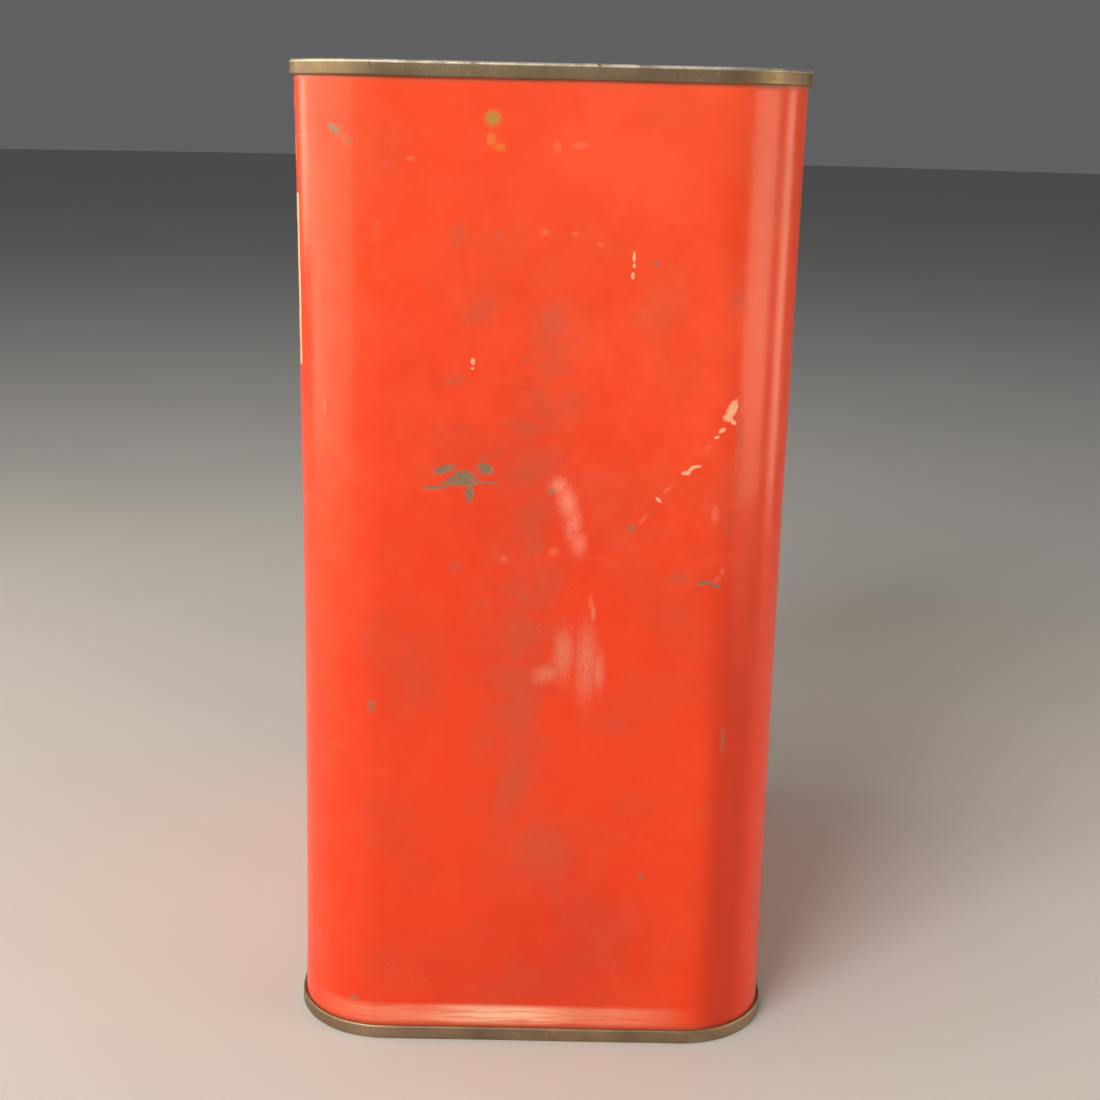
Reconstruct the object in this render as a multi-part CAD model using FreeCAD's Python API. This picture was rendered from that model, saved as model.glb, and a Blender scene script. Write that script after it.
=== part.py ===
"""Oblong two-gallon oil tin of lithographed tinplate, with recessed screw cap and folding bail.

Millimetres, +Z up. The origin is the centre of the tin's footprint, on the plane that it stands on.
The wide label panels face -Y and +Y, and the narrow panels face -X and +X. The lock seam of the
wrapped body runs down the middle of the -X panel.
"""
import FreeCAD, Part
import math
import os

# The tin's outside
WIDTH = 216.0  # X, across the label panels
DEPTH = 143.0  # Y, across the narrow panels
HEIGHT = 287.0  # Z, from one double seam to the other
CORNER = 26.7  # outside radius of the four upright corners
SHEET = 0.36  # tinplate thickness
LAYER_GAP = 0.06  # clearance between the folded layers of a seam

# Double seams, which hook each end onto the body
SEAM_HEIGHT = 4.3
COVER_HOOK = 1.9  # the end's hook, measured up from the seam's foot
SEAM_TOP_BEND = 0.6  # bend radii are at the middle of the sheet
SEAM_FOOT_BEND = 0.4
BODY_HOOK_BEND = 0.4

# Ends
PANEL_DROP = 7.0  # from the seam's top down to the panel's outer face
GROOVE_DROP = 8.6  # the same for the groove round the panel
GROOVE_WIDTH = 4.0
PANEL_INSET = 9.0  # where the ring of the end meets its flat middle
BEND = 0.9
BEAD_INSETS = (15.0, 26.0)  # raised steps pressed into the bottom end
BEAD_RISE = 1.0
BEAD_WIDTH = 5.0
SMALLEST_CORNER = 5.0

# Lock seam of the body
LOCK_WIDTH = 6.0
LOCK_SLOT = 7.6
LOCK_BELOW_END = 9.4  # the folded part stops this far from each end of the tin
LOCK_HOOK_SHORT = 1.2  # each fold's inner leg stops this far from the other fold's bend
LOCK_STEP = 0.55  # width of the step that carries one edge under the other
LOCK_STEP_LEAN = 0.05  # the step leans by this much, so that it isn't square to the wall
FOLD_SLACK = 0.01  # a fold's bend radius is this much under a full layer
SOLDER_WIDTH = 3.0
SOLDER_PROUD = 0.18
SOLDER_OFFSET = 0.2  # from the outer fold's edge to the bead's middle
SLOT_DEPTH = 3.0  # of the cut made in the wrapped sheet before its edges are folded
SLOT_OUTSIDE = 1.0
COMPOUND_ROUND = 0.1

# Recessed screw closure
WELL_X = -72.0
WELL_Y = -34.5
WELL_RADIUS = 26.0  # middle of the well's sheet
WELL_RIM_RADIUS = 27.4
WELL_DROP = 13.5  # from the seam's top down to the well's floor
NECK_BORE = 16.0
NECK_RADIUS = 16.8
NECK_TOP_DROP = 3.0
NECK_HOLE = 16.9
NECK_FLANGE = 22.0
NECK_FLANGE_THICKNESS = 0.6
NECK_BEAD = 18.0
NECK_BEAD_HEIGHT = 1.0
NECK_BEAD_FOOT_ROUND = 0.3
NECK_BEAD_TOP_ROUND = 0.6
GASKET_INNER = 17.05
GASKET_OUTER = 21.4
GASKET_THICKNESS = 0.8
CAP_SHEET = 0.4
CAP_RADIUS = 18.7  # middle of the skirt's sheet
CAP_FOOT_ABOVE_FLOOR = 1.9
CAP_HEM = 0.9
CAP_HEM_HEIGHT = 1.3
CAP_HEM_BEND = 0.4
CAP_TOP_DROP = 1.05
CAP_RAISE = 0.5  # the middle of the cap's top stands this much proud
CAP_RAISED_RADIUS = 12.5
CAP_RIBS = 36
CAP_RIB_RADIUS = 0.5
CAP_RIB_ABOVE_FOOT = 1.8
CAP_RIB_BELOW_TOP = 1.2
LINER_RADIUS = 17.2
LINER_THICKNESS = 1.3
LINER_GAP = 0.1

# Screw thread, right-handed, rolled into the neck and the cap's skirt
PITCH = 4.5
THREAD_BASE = 2.0
THREAD_CREST = 1.0
NECK_THREAD_CREST = 17.8
CAP_THREAD_CREST = 17.4
THREAD_ROOT_SINK = 0.15  # how far a ridge is rooted in its wall
NECK_THREAD_START = 2.8  # above the well's floor
NECK_THREAD_TURNS = 1.1
CAP_THREAD_TURNS = 0.9

# Folding bail
WIRE_RADIUS = 2.0
BAIL_PLANE_DROP = 3.4  # from the seam's top down to the folded bail's middle plane
BAIL_HALF_SPAN = 45.0
BAIL_REACH = 45.0
BAIL_BEND = 8.0
PIVOT_BEND = 4.0
PIVOT_LENGTH = 7.6  # from the arm's middle line to the end of the pin
PIN_HEAD_RADIUS = 2.7
PIN_HEAD_LENGTH = 1.2
GRIP_RADIUS = 3.2
GRIP_BORE = 2.06
GRIP_LENGTH = 64.0
GRIP_SLOT = 1.0
GRIP_END_ROUND = 0.5

# Ears that carry the bail
EAR_SHEET = 0.9
EAR_LUG = 50.2  # inner face of the upright lug
EAR_BASE_END = 37.0
EAR_WIDTH = 13.0
EAR_HOLE = 2.06
EAR_TOP_DROP = 0.3
EAR_TOP_ROUND = 3.2
EAR_SHOULDER_DROP = 1.5  # from the pivot's middle down to where the lug starts to narrow
EAR_SHOULDER_IN = 2.6
EAR_BEND = 0.8
EAR_SOLDER_LENGTH = 3.0
EAR_SOLDER_HEIGHT = 0.7
EAR_SOLDER_OVERHANG = 1.2
EAR_SOLDER_TOE = 0.9
EAR_SOLDER_ROUND = 0.8

PANEL_TOP = HEIGHT - PANEL_DROP
WELL_FLOOR = HEIGHT - WELL_DROP
NECK_TOP = HEIGHT - NECK_TOP_DROP
BAIL_Z = HEIGHT - BAIL_PLANE_DROP
UP = FreeCAD.Vector(0, 0, 1)
WELL_AXIS = FreeCAD.Vector(WELL_X, WELL_Y, 0)


def corner_edges(points, place):
    """Edges of a closed outline with rounded corners; points are (a, b, radius)."""
    flat = [(FreeCAD.Vector(a, b, 0), radius) for a, b, radius in points]
    starts, ends, middles = [], [], []
    for i, (corner, radius) in enumerate(flat):
        before = (flat[i - 1][0] - corner).normalize()
        after = (flat[(i + 1) % len(flat)][0] - corner).normalize()
        half_angle = before.getAngle(after) / 2
        if radius == 0 or half_angle > math.pi / 2 - 1e-6:
            starts.append(corner)
            ends.append(corner)
            middles.append(None)
            continue
        reach = radius / math.tan(half_angle)
        inward = (before + after).normalize()
        starts.append(corner + before * reach)
        ends.append(corner + after * reach)
        middles.append(corner + inward * (radius / math.sin(half_angle) - radius))
    edges = []
    for i in range(len(flat)):
        if middles[i] is not None:
            arc = [place(p.x, p.y) for p in (starts[i], middles[i], ends[i])]
            edges.append(Part.Arc(*arc).toShape())
        following = starts[(i + 1) % len(flat)]
        if ends[i].distanceToPoint(following) > 1e-6:
            line = (place(ends[i].x, ends[i].y), place(following.x, following.y))
            edges.append(Part.LineSegment(*line).toShape())
    return edges


def strip(path, thickness):
    """Outline of a bent sheet; path runs along its middle as (a, b, bend radius)."""
    left, right = [], []
    places = [FreeCAD.Vector(a, b, 0) for a, b, _ in path]
    headings = [(q - p).normalize() for p, q in zip(places, places[1:])]
    for i, (place, (_, _, bend)) in enumerate(zip(places, path)):
        before = headings[max(i - 1, 0)]
        after = headings[min(i, len(headings) - 1)]
        normal_before = FreeCAD.Vector(-before.y, before.x, 0)
        normal_after = FreeCAD.Vector(-after.y, after.x, 0)
        mitre = (normal_before + normal_after) / (1 + normal_before.dot(normal_after))
        mitre = mitre * (thickness / 2)
        turns_left = before.cross(after).z > 0
        grow = thickness / 2 if bend else 0
        near, far = bend - grow, bend + grow
        left.append((place.x + mitre.x, place.y + mitre.y, near if turns_left else far))
        right.append((place.x - mitre.x, place.y - mitre.y, far if turns_left else near))
    return left + right[::-1]


def closed_solid(faces):
    """One solid from faces that close on each other."""
    shell = Part.makeCompound(faces)
    shell.sewShape()
    solid = Part.makeSolid(Part.makeShell(shell.Faces))
    if solid.Volume < 0:
        solid.reverse()
    return solid.removeSplitter()


def ring(outline):
    """Solid swept once round the tin; outline is (offset outwards from the body, z, radius)."""
    faces = []
    for quarter in range(4):
        across, along = (WIDTH, DEPTH) if quarter % 2 == 0 else (DEPTH, WIDTH)
        out = across / 2
        half = along / 2 - CORNER
        for edge in corner_edges(outline, lambda n, z: FreeCAD.Vector(out + n, -half, z)):
            side = edge.extrude(FreeCAD.Vector(0, 2 * half, 0))
            moved = edge.translated(FreeCAD.Vector(0, 2 * half, 0))
            bend = moved.revolve(FreeCAD.Vector(out - CORNER, half, 0), UP, 90)
            for face in (side, bend):
                face.rotate(FreeCAD.Vector(0, 0, 0), UP, 90 * quarter)
                faces.append(face)
    return closed_solid(faces)


def rounded_slab(inset, low, high):
    """Flat slab whose outline is the tin's, taken in by inset."""
    x, y = WIDTH / 2 - inset, DEPTH / 2 - inset
    radius = max(CORNER - inset, SMALLEST_CORNER)
    points = [(-x, -y, radius), (x, -y, radius), (x, y, radius), (-x, y, radius)]
    outline = Part.Wire(corner_edges(points, lambda a, b: FreeCAD.Vector(a, b, low)))
    return Part.Face(outline).extrude(FreeCAD.Vector(0, 0, high - low))


def turned(outline, x=0.0, y=0.0):
    """Solid turned about a vertical axis; outline is (radius from the axis, z, corner radius)."""
    wire = Part.Wire(corner_edges(outline, lambda r, z: FreeCAD.Vector(x + r, y, z)))
    return Part.Face(wire).revolve(FreeCAD.Vector(x, y, 0), UP, 360)


def tube(inner, outer, low, high, x=WELL_X, y=WELL_Y):
    points = [(inner, low, 0), (outer, low, 0), (outer, high, 0), (inner, high, 0)]
    return turned(points, x, y)


def flipped(shape):
    """The same shape turned end for end, for the tin's other end."""
    middle = FreeCAD.Vector(0, 0, HEIGHT / 2)
    return shape.mirror(middle, UP)


# Offsets of the double seam's layers, from the body's outside face outwards
CHUCK_WALL = -1.5 * SHEET - LAYER_GAP
COVER_HOOK_LAYER = LAYER_GAP + SHEET / 2
BODY_HOOK_LAYER = 2 * LAYER_GAP + 1.5 * SHEET
SEAM_WALL = 3 * LAYER_GAP + 2.5 * SHEET
SEAM_FOOT = HEIGHT - SEAM_HEIGHT + SHEET / 2
BODY_HOOK_TOP = HEIGHT - 1.5 * SHEET - LAYER_GAP
BODY_HOOK_TIP = SEAM_FOOT + SHEET / 2 + 2 * LAYER_GAP


def end_ring():
    """The top end from its flat middle outwards: groove, chuck wall and curled seam."""
    panel = PANEL_TOP - SHEET / 2
    groove = HEIGHT - GROOVE_DROP - SHEET / 2
    rise_end = CHUCK_WALL - GROOVE_WIDTH
    path = [
        (-PANEL_INSET, panel, 0),
        (rise_end - BEAD_RISE, panel, BEND),
        (rise_end, groove, BEND),
        (CHUCK_WALL, groove, BEND),
        (CHUCK_WALL, HEIGHT - SHEET / 2, SEAM_TOP_BEND),
        (SEAM_WALL, HEIGHT - SHEET / 2, SEAM_TOP_BEND),
        (SEAM_WALL, SEAM_FOOT, SEAM_FOOT_BEND),
        (COVER_HOOK_LAYER, SEAM_FOOT, SEAM_FOOT_BEND),
        (COVER_HOOK_LAYER, SEAM_FOOT + COVER_HOOK, 0),
    ]
    return ring(strip(path, SHEET))


def body():
    """Sheet wrapped into a tube, hooked outwards at both ends and locked down one side."""
    wall = -SHEET / 2
    path = [
        (BODY_HOOK_LAYER, HEIGHT - BODY_HOOK_TIP, 0),
        (BODY_HOOK_LAYER, HEIGHT - BODY_HOOK_TOP, BODY_HOOK_BEND),
        (wall, HEIGHT - BODY_HOOK_TOP, BODY_HOOK_BEND),
        (wall, BODY_HOOK_TOP, BODY_HOOK_BEND),
        (BODY_HOOK_LAYER, BODY_HOOK_TOP, BODY_HOOK_BEND),
        (BODY_HOOK_LAYER, BODY_HOOK_TIP, 0),
    ]
    wrapped = ring(strip(path, SHEET))
    low, high = LOCK_BELOW_END, HEIGHT - LOCK_BELOW_END
    corner = FreeCAD.Vector(-WIDTH / 2 - SLOT_OUTSIDE, -LOCK_SLOT / 2, low)
    slot = Part.makeBox(SLOT_DEPTH, LOCK_SLOT, high - low, corner)
    return wrapped.cut(slot).fuse(lock_folds(low, high))


def lock_folds(low, high):
    """The two folded edges of the body, hooked into each other."""
    layer = SHEET + LAYER_GAP
    outside = -WIDTH / 2 + SHEET / 2
    half = LOCK_WIDTH / 2
    fold = layer - FOLD_SLACK
    hook_end = half - LOCK_HOOK_SHORT
    step_end = half + LOCK_STEP
    outer_edge = [
        (outside, -LOCK_SLOT / 2, 0),
        (outside, half, fold),
        (outside + 2 * layer, half, fold),
        (outside + 2 * layer, -hook_end, 0),
    ]
    inner_edge = [
        (outside, LOCK_SLOT / 2, 0),
        (outside, step_end, 0),
        (outside + 3 * layer, step_end - LOCK_STEP_LEAN, 0),
        (outside + 3 * layer, -half, fold),
        (outside + layer, -half, fold),
        (outside + layer, hook_end, 0),
    ]
    folds = []
    for path in (outer_edge, inner_edge):
        edges = corner_edges(strip(path, SHEET), lambda a, b: FreeCAD.Vector(a, b, low))
        face = Part.Face(Part.Wire(edges))
        folds.append(face.extrude(FreeCAD.Vector(0, 0, high - low)))
    return folds


def top_end():
    plate = rounded_slab(PANEL_INSET, PANEL_TOP - SHEET, PANEL_TOP)
    rim_hole = Part.makeCylinder(WELL_RIM_RADIUS, 4 * SHEET, WELL_AXIS + UP * (PANEL_TOP - 2 * SHEET))
    path = [
        (WELL_RIM_RADIUS, PANEL_TOP - SHEET / 2, 0),
        (WELL_RADIUS, PANEL_TOP - SHEET / 2, BEND),
        (WELL_RADIUS, WELL_FLOOR - SHEET / 2, BEND),
        (NECK_HOLE, WELL_FLOOR - SHEET / 2, 0),
    ]
    well = turned(strip(path, SHEET), WELL_X, WELL_Y)
    whole = end_ring().fuse([plate.cut(rim_hole), well])
    return whole.removeSplitter()


def bottom_end():
    """The same pressing as the top end, with raised beads in place of the well."""
    panel = rounded_slab(PANEL_INSET, PANEL_TOP - SHEET, PANEL_TOP)
    whole = end_ring().fuse(panel)
    for inset in BEAD_INSETS:
        outer = rounded_slab(inset, PANEL_TOP, PANEL_TOP + BEAD_RISE)
        inner = rounded_slab(inset + BEAD_WIDTH, PANEL_TOP - SHEET, PANEL_TOP + BEAD_RISE - SHEET)
        outer_hole = rounded_slab(inset + BEAD_WIDTH + SHEET, PANEL_TOP, PANEL_TOP + BEAD_RISE)
        groove = rounded_slab(inset + SHEET, PANEL_TOP - SHEET, PANEL_TOP + BEAD_RISE - SHEET)
        whole = whole.fuse(outer.cut(outer_hole)).cut(groove.cut(inner))
    return flipped(whole.removeSplitter())


def seam_compound():
    """Sealing compound between the body and the two hooks, above the end's hook."""
    low = SEAM_FOOT + COVER_HOOK + LAYER_GAP / 2
    high = HEIGHT - 2 * SHEET - 2 * LAYER_GAP
    inner = LAYER_GAP / 2
    outer = SHEET + 1.5 * LAYER_GAP
    bead_round = COMPOUND_ROUND
    return ring([(inner, low, 0), (outer, low, 0), (outer, high, bead_round), (inner, high, bead_round)])


def side_seam_solder():
    """Low bead of solder over the lock seam's outside groove."""
    face = -WIDTH / 2
    middle = LOCK_WIDTH / 2 + SOLDER_OFFSET
    low = LOCK_BELOW_END
    points = [
        (face, middle - SOLDER_WIDTH / 2, 0),
        (face - SOLDER_PROUD, middle - SOLDER_WIDTH / 4, SOLDER_WIDTH / 4),
        (face - SOLDER_PROUD, middle + SOLDER_WIDTH / 4, SOLDER_WIDTH / 4),
        (face, middle + SOLDER_WIDTH / 2, 0),
    ]
    wire = Part.Wire(corner_edges(points, lambda a, b: FreeCAD.Vector(a, b, low)))
    return Part.Face(wire).extrude(FreeCAD.Vector(0, 0, HEIGHT - 2 * low))


def helical_ridge(root, crest, start, turns, phase=0.0):
    """Thread ridge with a trapezoid section; root and crest are radii from the closure's axis."""
    sink = -THREAD_ROOT_SINK if crest > root else THREAD_ROOT_SINK
    helix = Part.makeHelix(PITCH, PITCH * turns, root + sink)
    corners = [
        (root + sink, -THREAD_BASE / 2),
        (crest, -THREAD_CREST / 2),
        (crest, THREAD_CREST / 2),
        (root + sink, THREAD_BASE / 2),
    ]
    section = Part.makePolygon([FreeCAD.Vector(r, 0, z) for r, z in corners + corners[:1]])
    ridge = Part.Wire(helix).makePipeShell([section], True, True)
    ridge.rotate(FreeCAD.Vector(0, 0, 0), UP, phase)
    ridge.translate(WELL_AXIS + UP * start)
    return ridge


def neck():
    flange_top = WELL_FLOOR - SHEET - GASKET_THICKNESS
    flange_low = flange_top - NECK_FLANGE_THICKNESS
    barrel = tube(NECK_BORE, NECK_RADIUS, flange_low, NECK_TOP)
    flange = tube(NECK_BORE, NECK_FLANGE, flange_low, flange_top)
    bead_high = WELL_FLOOR + NECK_BEAD_HEIGHT
    bead_points = [
        (NECK_BORE, WELL_FLOOR, 0),
        (NECK_BEAD, WELL_FLOOR, NECK_BEAD_FOOT_ROUND),
        (NECK_BEAD, bead_high, NECK_BEAD_TOP_ROUND),
        (NECK_BORE, bead_high, 0),
    ]
    bead = turned(bead_points, WELL_X, WELL_Y)
    start = WELL_FLOOR + NECK_THREAD_START
    ridge = helical_ridge(NECK_RADIUS, NECK_THREAD_CREST, start, NECK_THREAD_TURNS)
    return barrel.fuse([flange, bead, ridge]).removeSplitter()


def neck_gasket():
    high = WELL_FLOOR - SHEET
    return tube(GASKET_INNER, GASKET_OUTER, high - GASKET_THICKNESS, high)


def cap():
    """Shallow pressed cap with a ribbed skirt, a hemmed foot and a thread inside."""
    top = HEIGHT - CAP_TOP_DROP - CAP_SHEET / 2
    foot = WELL_FLOOR + CAP_FOOT_ABOVE_FLOOR
    path = [
        (0, top + CAP_RAISE, 0),
        (CAP_RAISED_RADIUS, top + CAP_RAISE, BEND),
        (CAP_RAISED_RADIUS + CAP_RAISE, top, BEND),
        (CAP_RADIUS, top, BEND),
        (CAP_RADIUS, foot, CAP_HEM_BEND),
        (CAP_RADIUS + CAP_HEM, foot, CAP_HEM_BEND),
        (CAP_RADIUS + CAP_HEM, foot + CAP_HEM_HEIGHT, 0),
    ]
    shell = turned(strip(path, CAP_SHEET), WELL_X, WELL_Y)
    ribs = []
    rib_low = foot + CAP_RIB_ABOVE_FOOT
    rib_high = top - CAP_RIB_BELOW_TOP
    for i in range(CAP_RIBS):
        angle = 2 * math.pi * i / CAP_RIBS
        away = FreeCAD.Vector(math.cos(angle), math.sin(angle), 0) * CAP_RADIUS
        place = WELL_AXIS + away + UP * rib_low
        ribs.append(Part.makeCylinder(CAP_RIB_RADIUS, rib_high - rib_low, place))
    inner_wall = CAP_RADIUS - CAP_SHEET / 2
    clearance_bore = Part.makeCylinder(inner_wall, HEIGHT, WELL_AXIS)
    ribs = [rib.cut(clearance_bore) for rib in ribs]
    start = WELL_FLOOR + NECK_THREAD_START + PITCH / 2
    ridge = helical_ridge(inner_wall, CAP_THREAD_CREST, start, CAP_THREAD_TURNS)
    return shell.fuse(ribs + [ridge]).removeSplitter()


def cap_liner():
    low = NECK_TOP + LINER_GAP
    return Part.makeCylinder(LINER_RADIUS, LINER_THICKNESS, WELL_AXIS + UP * low)


def bail_route():
    """Middle line of the bail's wire, folded flat towards +Y, as one wire from pin to pin."""
    end = BAIL_HALF_SPAN + PIVOT_LENGTH
    points = [
        (-end, 0, 0),
        (-BAIL_HALF_SPAN, 0, PIVOT_BEND),
        (-BAIL_HALF_SPAN, BAIL_REACH, BAIL_BEND),
        (BAIL_HALF_SPAN, BAIL_REACH, BAIL_BEND),
        (BAIL_HALF_SPAN, 0, PIVOT_BEND),
        (end, 0, 0),
    ]
    edges = corner_edges(points, lambda a, b: FreeCAD.Vector(a, b, BAIL_Z))
    return Part.Wire(edges[:-1])


def bail_wire():
    end = BAIL_HALF_SPAN + PIVOT_LENGTH
    along = FreeCAD.Vector(1, 0, 0)
    circle = Part.Wire(Part.makeCircle(WIRE_RADIUS, FreeCAD.Vector(-end, 0, BAIL_Z), along))
    wire = bail_route().makePipeShell([circle], True, False)
    heads = []
    for side in (-1, 1):
        inner = FreeCAD.Vector(side * (end - PIN_HEAD_LENGTH), 0, BAIL_Z)
        outward = FreeCAD.Vector(side, 0, 0)
        heads.append(Part.makeCylinder(PIN_HEAD_RADIUS, PIN_HEAD_LENGTH, inner, outward))
    return wire.fuse(heads).removeSplitter()


def bail_grip():
    """Tube rolled from sheet round the bail's wire, with its edges not quite meeting."""
    start = FreeCAD.Vector(-GRIP_LENGTH / 2, BAIL_REACH, BAIL_Z)
    along = FreeCAD.Vector(1, 0, 0)
    outer = Part.makeCylinder(GRIP_RADIUS, GRIP_LENGTH, start, along)
    outer = outer.makeFillet(GRIP_END_ROUND, [e for e in outer.Edges if e.Closed])
    bore = Part.makeCylinder(GRIP_BORE, GRIP_LENGTH, start, along)
    corner = start + FreeCAD.Vector(0, -GRIP_SLOT / 2, -GRIP_RADIUS)
    slot = Part.makeBox(GRIP_LENGTH, GRIP_SLOT, GRIP_RADIUS, corner)
    return outer.cut([bore, slot])


def right_ear():
    """Strap bent up into a lug, its foot lying on the panel under the bail's arm."""
    middle = PANEL_TOP + EAR_SHEET / 2
    lug = EAR_LUG + EAR_SHEET / 2
    top = HEIGHT - EAR_TOP_DROP
    path = [(EAR_BASE_END, middle, 0), (lug, middle, EAR_BEND), (lug, top, 0)]
    low_y = -EAR_WIDTH / 2
    edges = corner_edges(strip(path, EAR_SHEET), lambda a, b: FreeCAD.Vector(a, low_y, b))
    bent = Part.Face(Part.Wire(edges)).extrude(FreeCAD.Vector(0, EAR_WIDTH, 0))
    half = EAR_WIDTH / 2
    shoulder = BAIL_Z - EAR_SHOULDER_DROP
    outline = [
        (-half, PANEL_TOP, 0),
        (half, PANEL_TOP, 0),
        (half, shoulder, EAR_TOP_ROUND),
        (half - EAR_SHOULDER_IN, top, EAR_TOP_ROUND),
        (-half + EAR_SHOULDER_IN, top, EAR_TOP_ROUND),
        (-half, shoulder, EAR_TOP_ROUND),
    ]
    wire = Part.Wire(corner_edges(outline, lambda a, b: FreeCAD.Vector(EAR_BASE_END, a, b)))
    rounded = Part.Face(wire).extrude(FreeCAD.Vector(2 * EAR_LUG, 0, 0))
    hole_start = FreeCAD.Vector(EAR_LUG - EAR_SHEET, 0, BAIL_Z)
    hole = Part.makeCylinder(EAR_HOLE, 3 * EAR_SHEET, hole_start, FreeCAD.Vector(1, 0, 0))
    return bent.common(rounded).cut(hole)


def ear_solder():
    """Beads of solder along the free end of each ear's foot."""
    half = EAR_WIDTH / 2 + EAR_SOLDER_OVERHANG
    far = EAR_BASE_END - EAR_SOLDER_LENGTH
    points = [
        (EAR_BASE_END, PANEL_TOP, 0),
        (EAR_BASE_END, PANEL_TOP + EAR_SOLDER_HEIGHT, 0),
        (far + EAR_SOLDER_TOE, PANEL_TOP + EAR_SOLDER_HEIGHT / 2, EAR_SOLDER_ROUND),
        (far, PANEL_TOP, 0),
    ]
    wire = Part.Wire(corner_edges(points, lambda a, b: FreeCAD.Vector(a, -half, b)))
    bead = Part.Face(wire).extrude(FreeCAD.Vector(0, 2 * half, 0))
    return Part.makeCompound([bead, mirrored(bead)])


def mirrored(shape):
    """The same shape on the other side of the tin."""
    return shape.mirror(FreeCAD.Vector(0, 0, 0), FreeCAD.Vector(1, 0, 0))


PIECES = {
    "body": body,
    "top_end": top_end,
    "bottom_end": bottom_end,
    "top_seam_compound": seam_compound,
    "bottom_seam_compound": lambda: flipped(seam_compound()),
    "side_seam_solder": side_seam_solder,
    "neck": neck,
    "neck_gasket": neck_gasket,
    "cap": cap,
    "cap_liner": cap_liner,
    "bail_wire": bail_wire,
    "bail_grip": bail_grip,
    "right_ear": right_ear,
    "left_ear": lambda: mirrored(right_ear()),
    "ear_solder": ear_solder,
}

os.makedirs("parts", exist_ok=True)
for name, make in PIECES.items():
    shape = make()
    if not shape.isValid():
        print("not valid:", name)
    print(f"{name}: {len(shape.Solids)} solid(s), {shape.Volume:.0f} mm3")
    shape.exportStep(f"parts/{name}.step")
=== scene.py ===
"""Looks of the oblong oil can: worn red lithographed tin with tarnished double seams.

Lengths in this script are millimetres unless a name says otherwise, and MM turns them into metres.
"""
import math

import bmesh
import bpy
import numpy as np
from mathutils import Matrix, Vector


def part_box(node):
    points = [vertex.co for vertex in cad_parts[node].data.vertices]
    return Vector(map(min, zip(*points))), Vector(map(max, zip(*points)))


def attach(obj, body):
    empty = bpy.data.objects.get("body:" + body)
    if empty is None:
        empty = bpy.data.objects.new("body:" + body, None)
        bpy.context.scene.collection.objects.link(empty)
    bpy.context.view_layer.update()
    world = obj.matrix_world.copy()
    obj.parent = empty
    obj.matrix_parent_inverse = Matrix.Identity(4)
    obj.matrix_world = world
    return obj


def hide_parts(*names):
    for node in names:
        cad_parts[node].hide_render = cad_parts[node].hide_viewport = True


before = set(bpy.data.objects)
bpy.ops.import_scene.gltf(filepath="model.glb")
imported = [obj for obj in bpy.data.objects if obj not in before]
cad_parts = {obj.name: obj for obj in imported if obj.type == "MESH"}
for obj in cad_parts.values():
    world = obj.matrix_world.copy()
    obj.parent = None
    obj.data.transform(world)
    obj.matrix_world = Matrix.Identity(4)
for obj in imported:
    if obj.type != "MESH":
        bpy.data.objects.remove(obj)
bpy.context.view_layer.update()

MM = 0.001

# ---------------------------------------------------------------- sizes, from the frame and the sheet
SHEET = 0.36
SEAM_GAP = 0.06  # between two folded layers
LAYER = SHEET + SEAM_GAP
SEAM_OUT = 3 * LAYER
SEAM_HEIGHT = 4.3
COVER_HOOK = 1.9  # the end's hook, measured up from the seam's foot
BODY_HOOK_TIP = 3.8  # of the body's hook, measured from the seam's outer edge
HOOK_BEND = 0.4
RIM_BEND = 0.6
PANEL_BEND = 0.9
CORNER = 26.7
_, end_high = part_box("top_end")
HALF_WIDTH = end_high.x / MM - SEAM_OUT
HALF_DEPTH = end_high.y / MM - SEAM_OUT
HEIGHT = end_high.z / MM
FLAT_X = HALF_WIDTH - CORNER  # half the straight run of a label panel
FLAT_Y = HALF_DEPTH - CORNER  # half the straight run of a narrow panel
QUARTER = CORNER * math.pi / 2
NARROW_MIDDLE = FLAT_X + QUARTER + FLAT_Y  # distance round the can from the label's middle
BACK_MIDDLE = NARROW_MIDDLE * 2
cap_low, cap_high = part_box("cap")
WELL_X = (cap_low.x + cap_high.x) / 2 / MM
WELL_Y = (cap_low.y + cap_high.y) / 2 / MM
PANEL_DROP = 7.0
GROOVE_DROP = 8.6
GROOVE_WIDTH = 4.0
PANEL_INSET = 9.0
WELL_RADIUS = 26.0
WELL_RIM_RADIUS = 27.4
WELL_DROP = 13.5
NECK_HOLE = 16.9
CHUCK_WALL = -1.5 * SHEET - SEAM_GAP
COVER_HOOK_LAYER = LAYER - SHEET / 2
BODY_HOOK_LAYER = 2 * LAYER - SHEET / 2
SEAM_WALL = SEAM_OUT - SHEET / 2
BODY_HOOK_TOP = 1.5 * SHEET + SEAM_GAP  # drop from the seam's top to the body hook's bend
LOCK_FOLD = 3.1  # the folded layers of the lock seam reach this far to each side of its middle
LOCK_GROOVE = 3.35  # from the seam's middle to the groove beside it
LOCK_GROOVE_DEPTH = 0.30
LOCK_GROOVE_WIDTH = 0.32
LOCK_END = 9.4


# ---------------------------------------------------------------- camera, floor and lights

LENS = 55.71
CAMERA_PLACE = (573.4, -0.8, 275.7)
PITCH, ROLL, YAW = 0.2546, 0.0231, -0.0070  # radians: down, clockwise, and away from square on
FAR_CLIP = 50.0  # metres, like the other sizes of the stage
FLOOR_RADIUS = 9.0
FLOOR_TONES = ((0.50, 0.495, 0.485), (0.56, 0.555, 0.545))
SKY_COLOUR = (0.90, 0.91, 0.93, 1)
SKY_STRENGTH = 0.13
WHITE = (1.0, 1.0, 1.0)
WARM = (1.0, 0.955, 0.90)
AMBER = (1.0, 0.83, 0.60)
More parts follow.
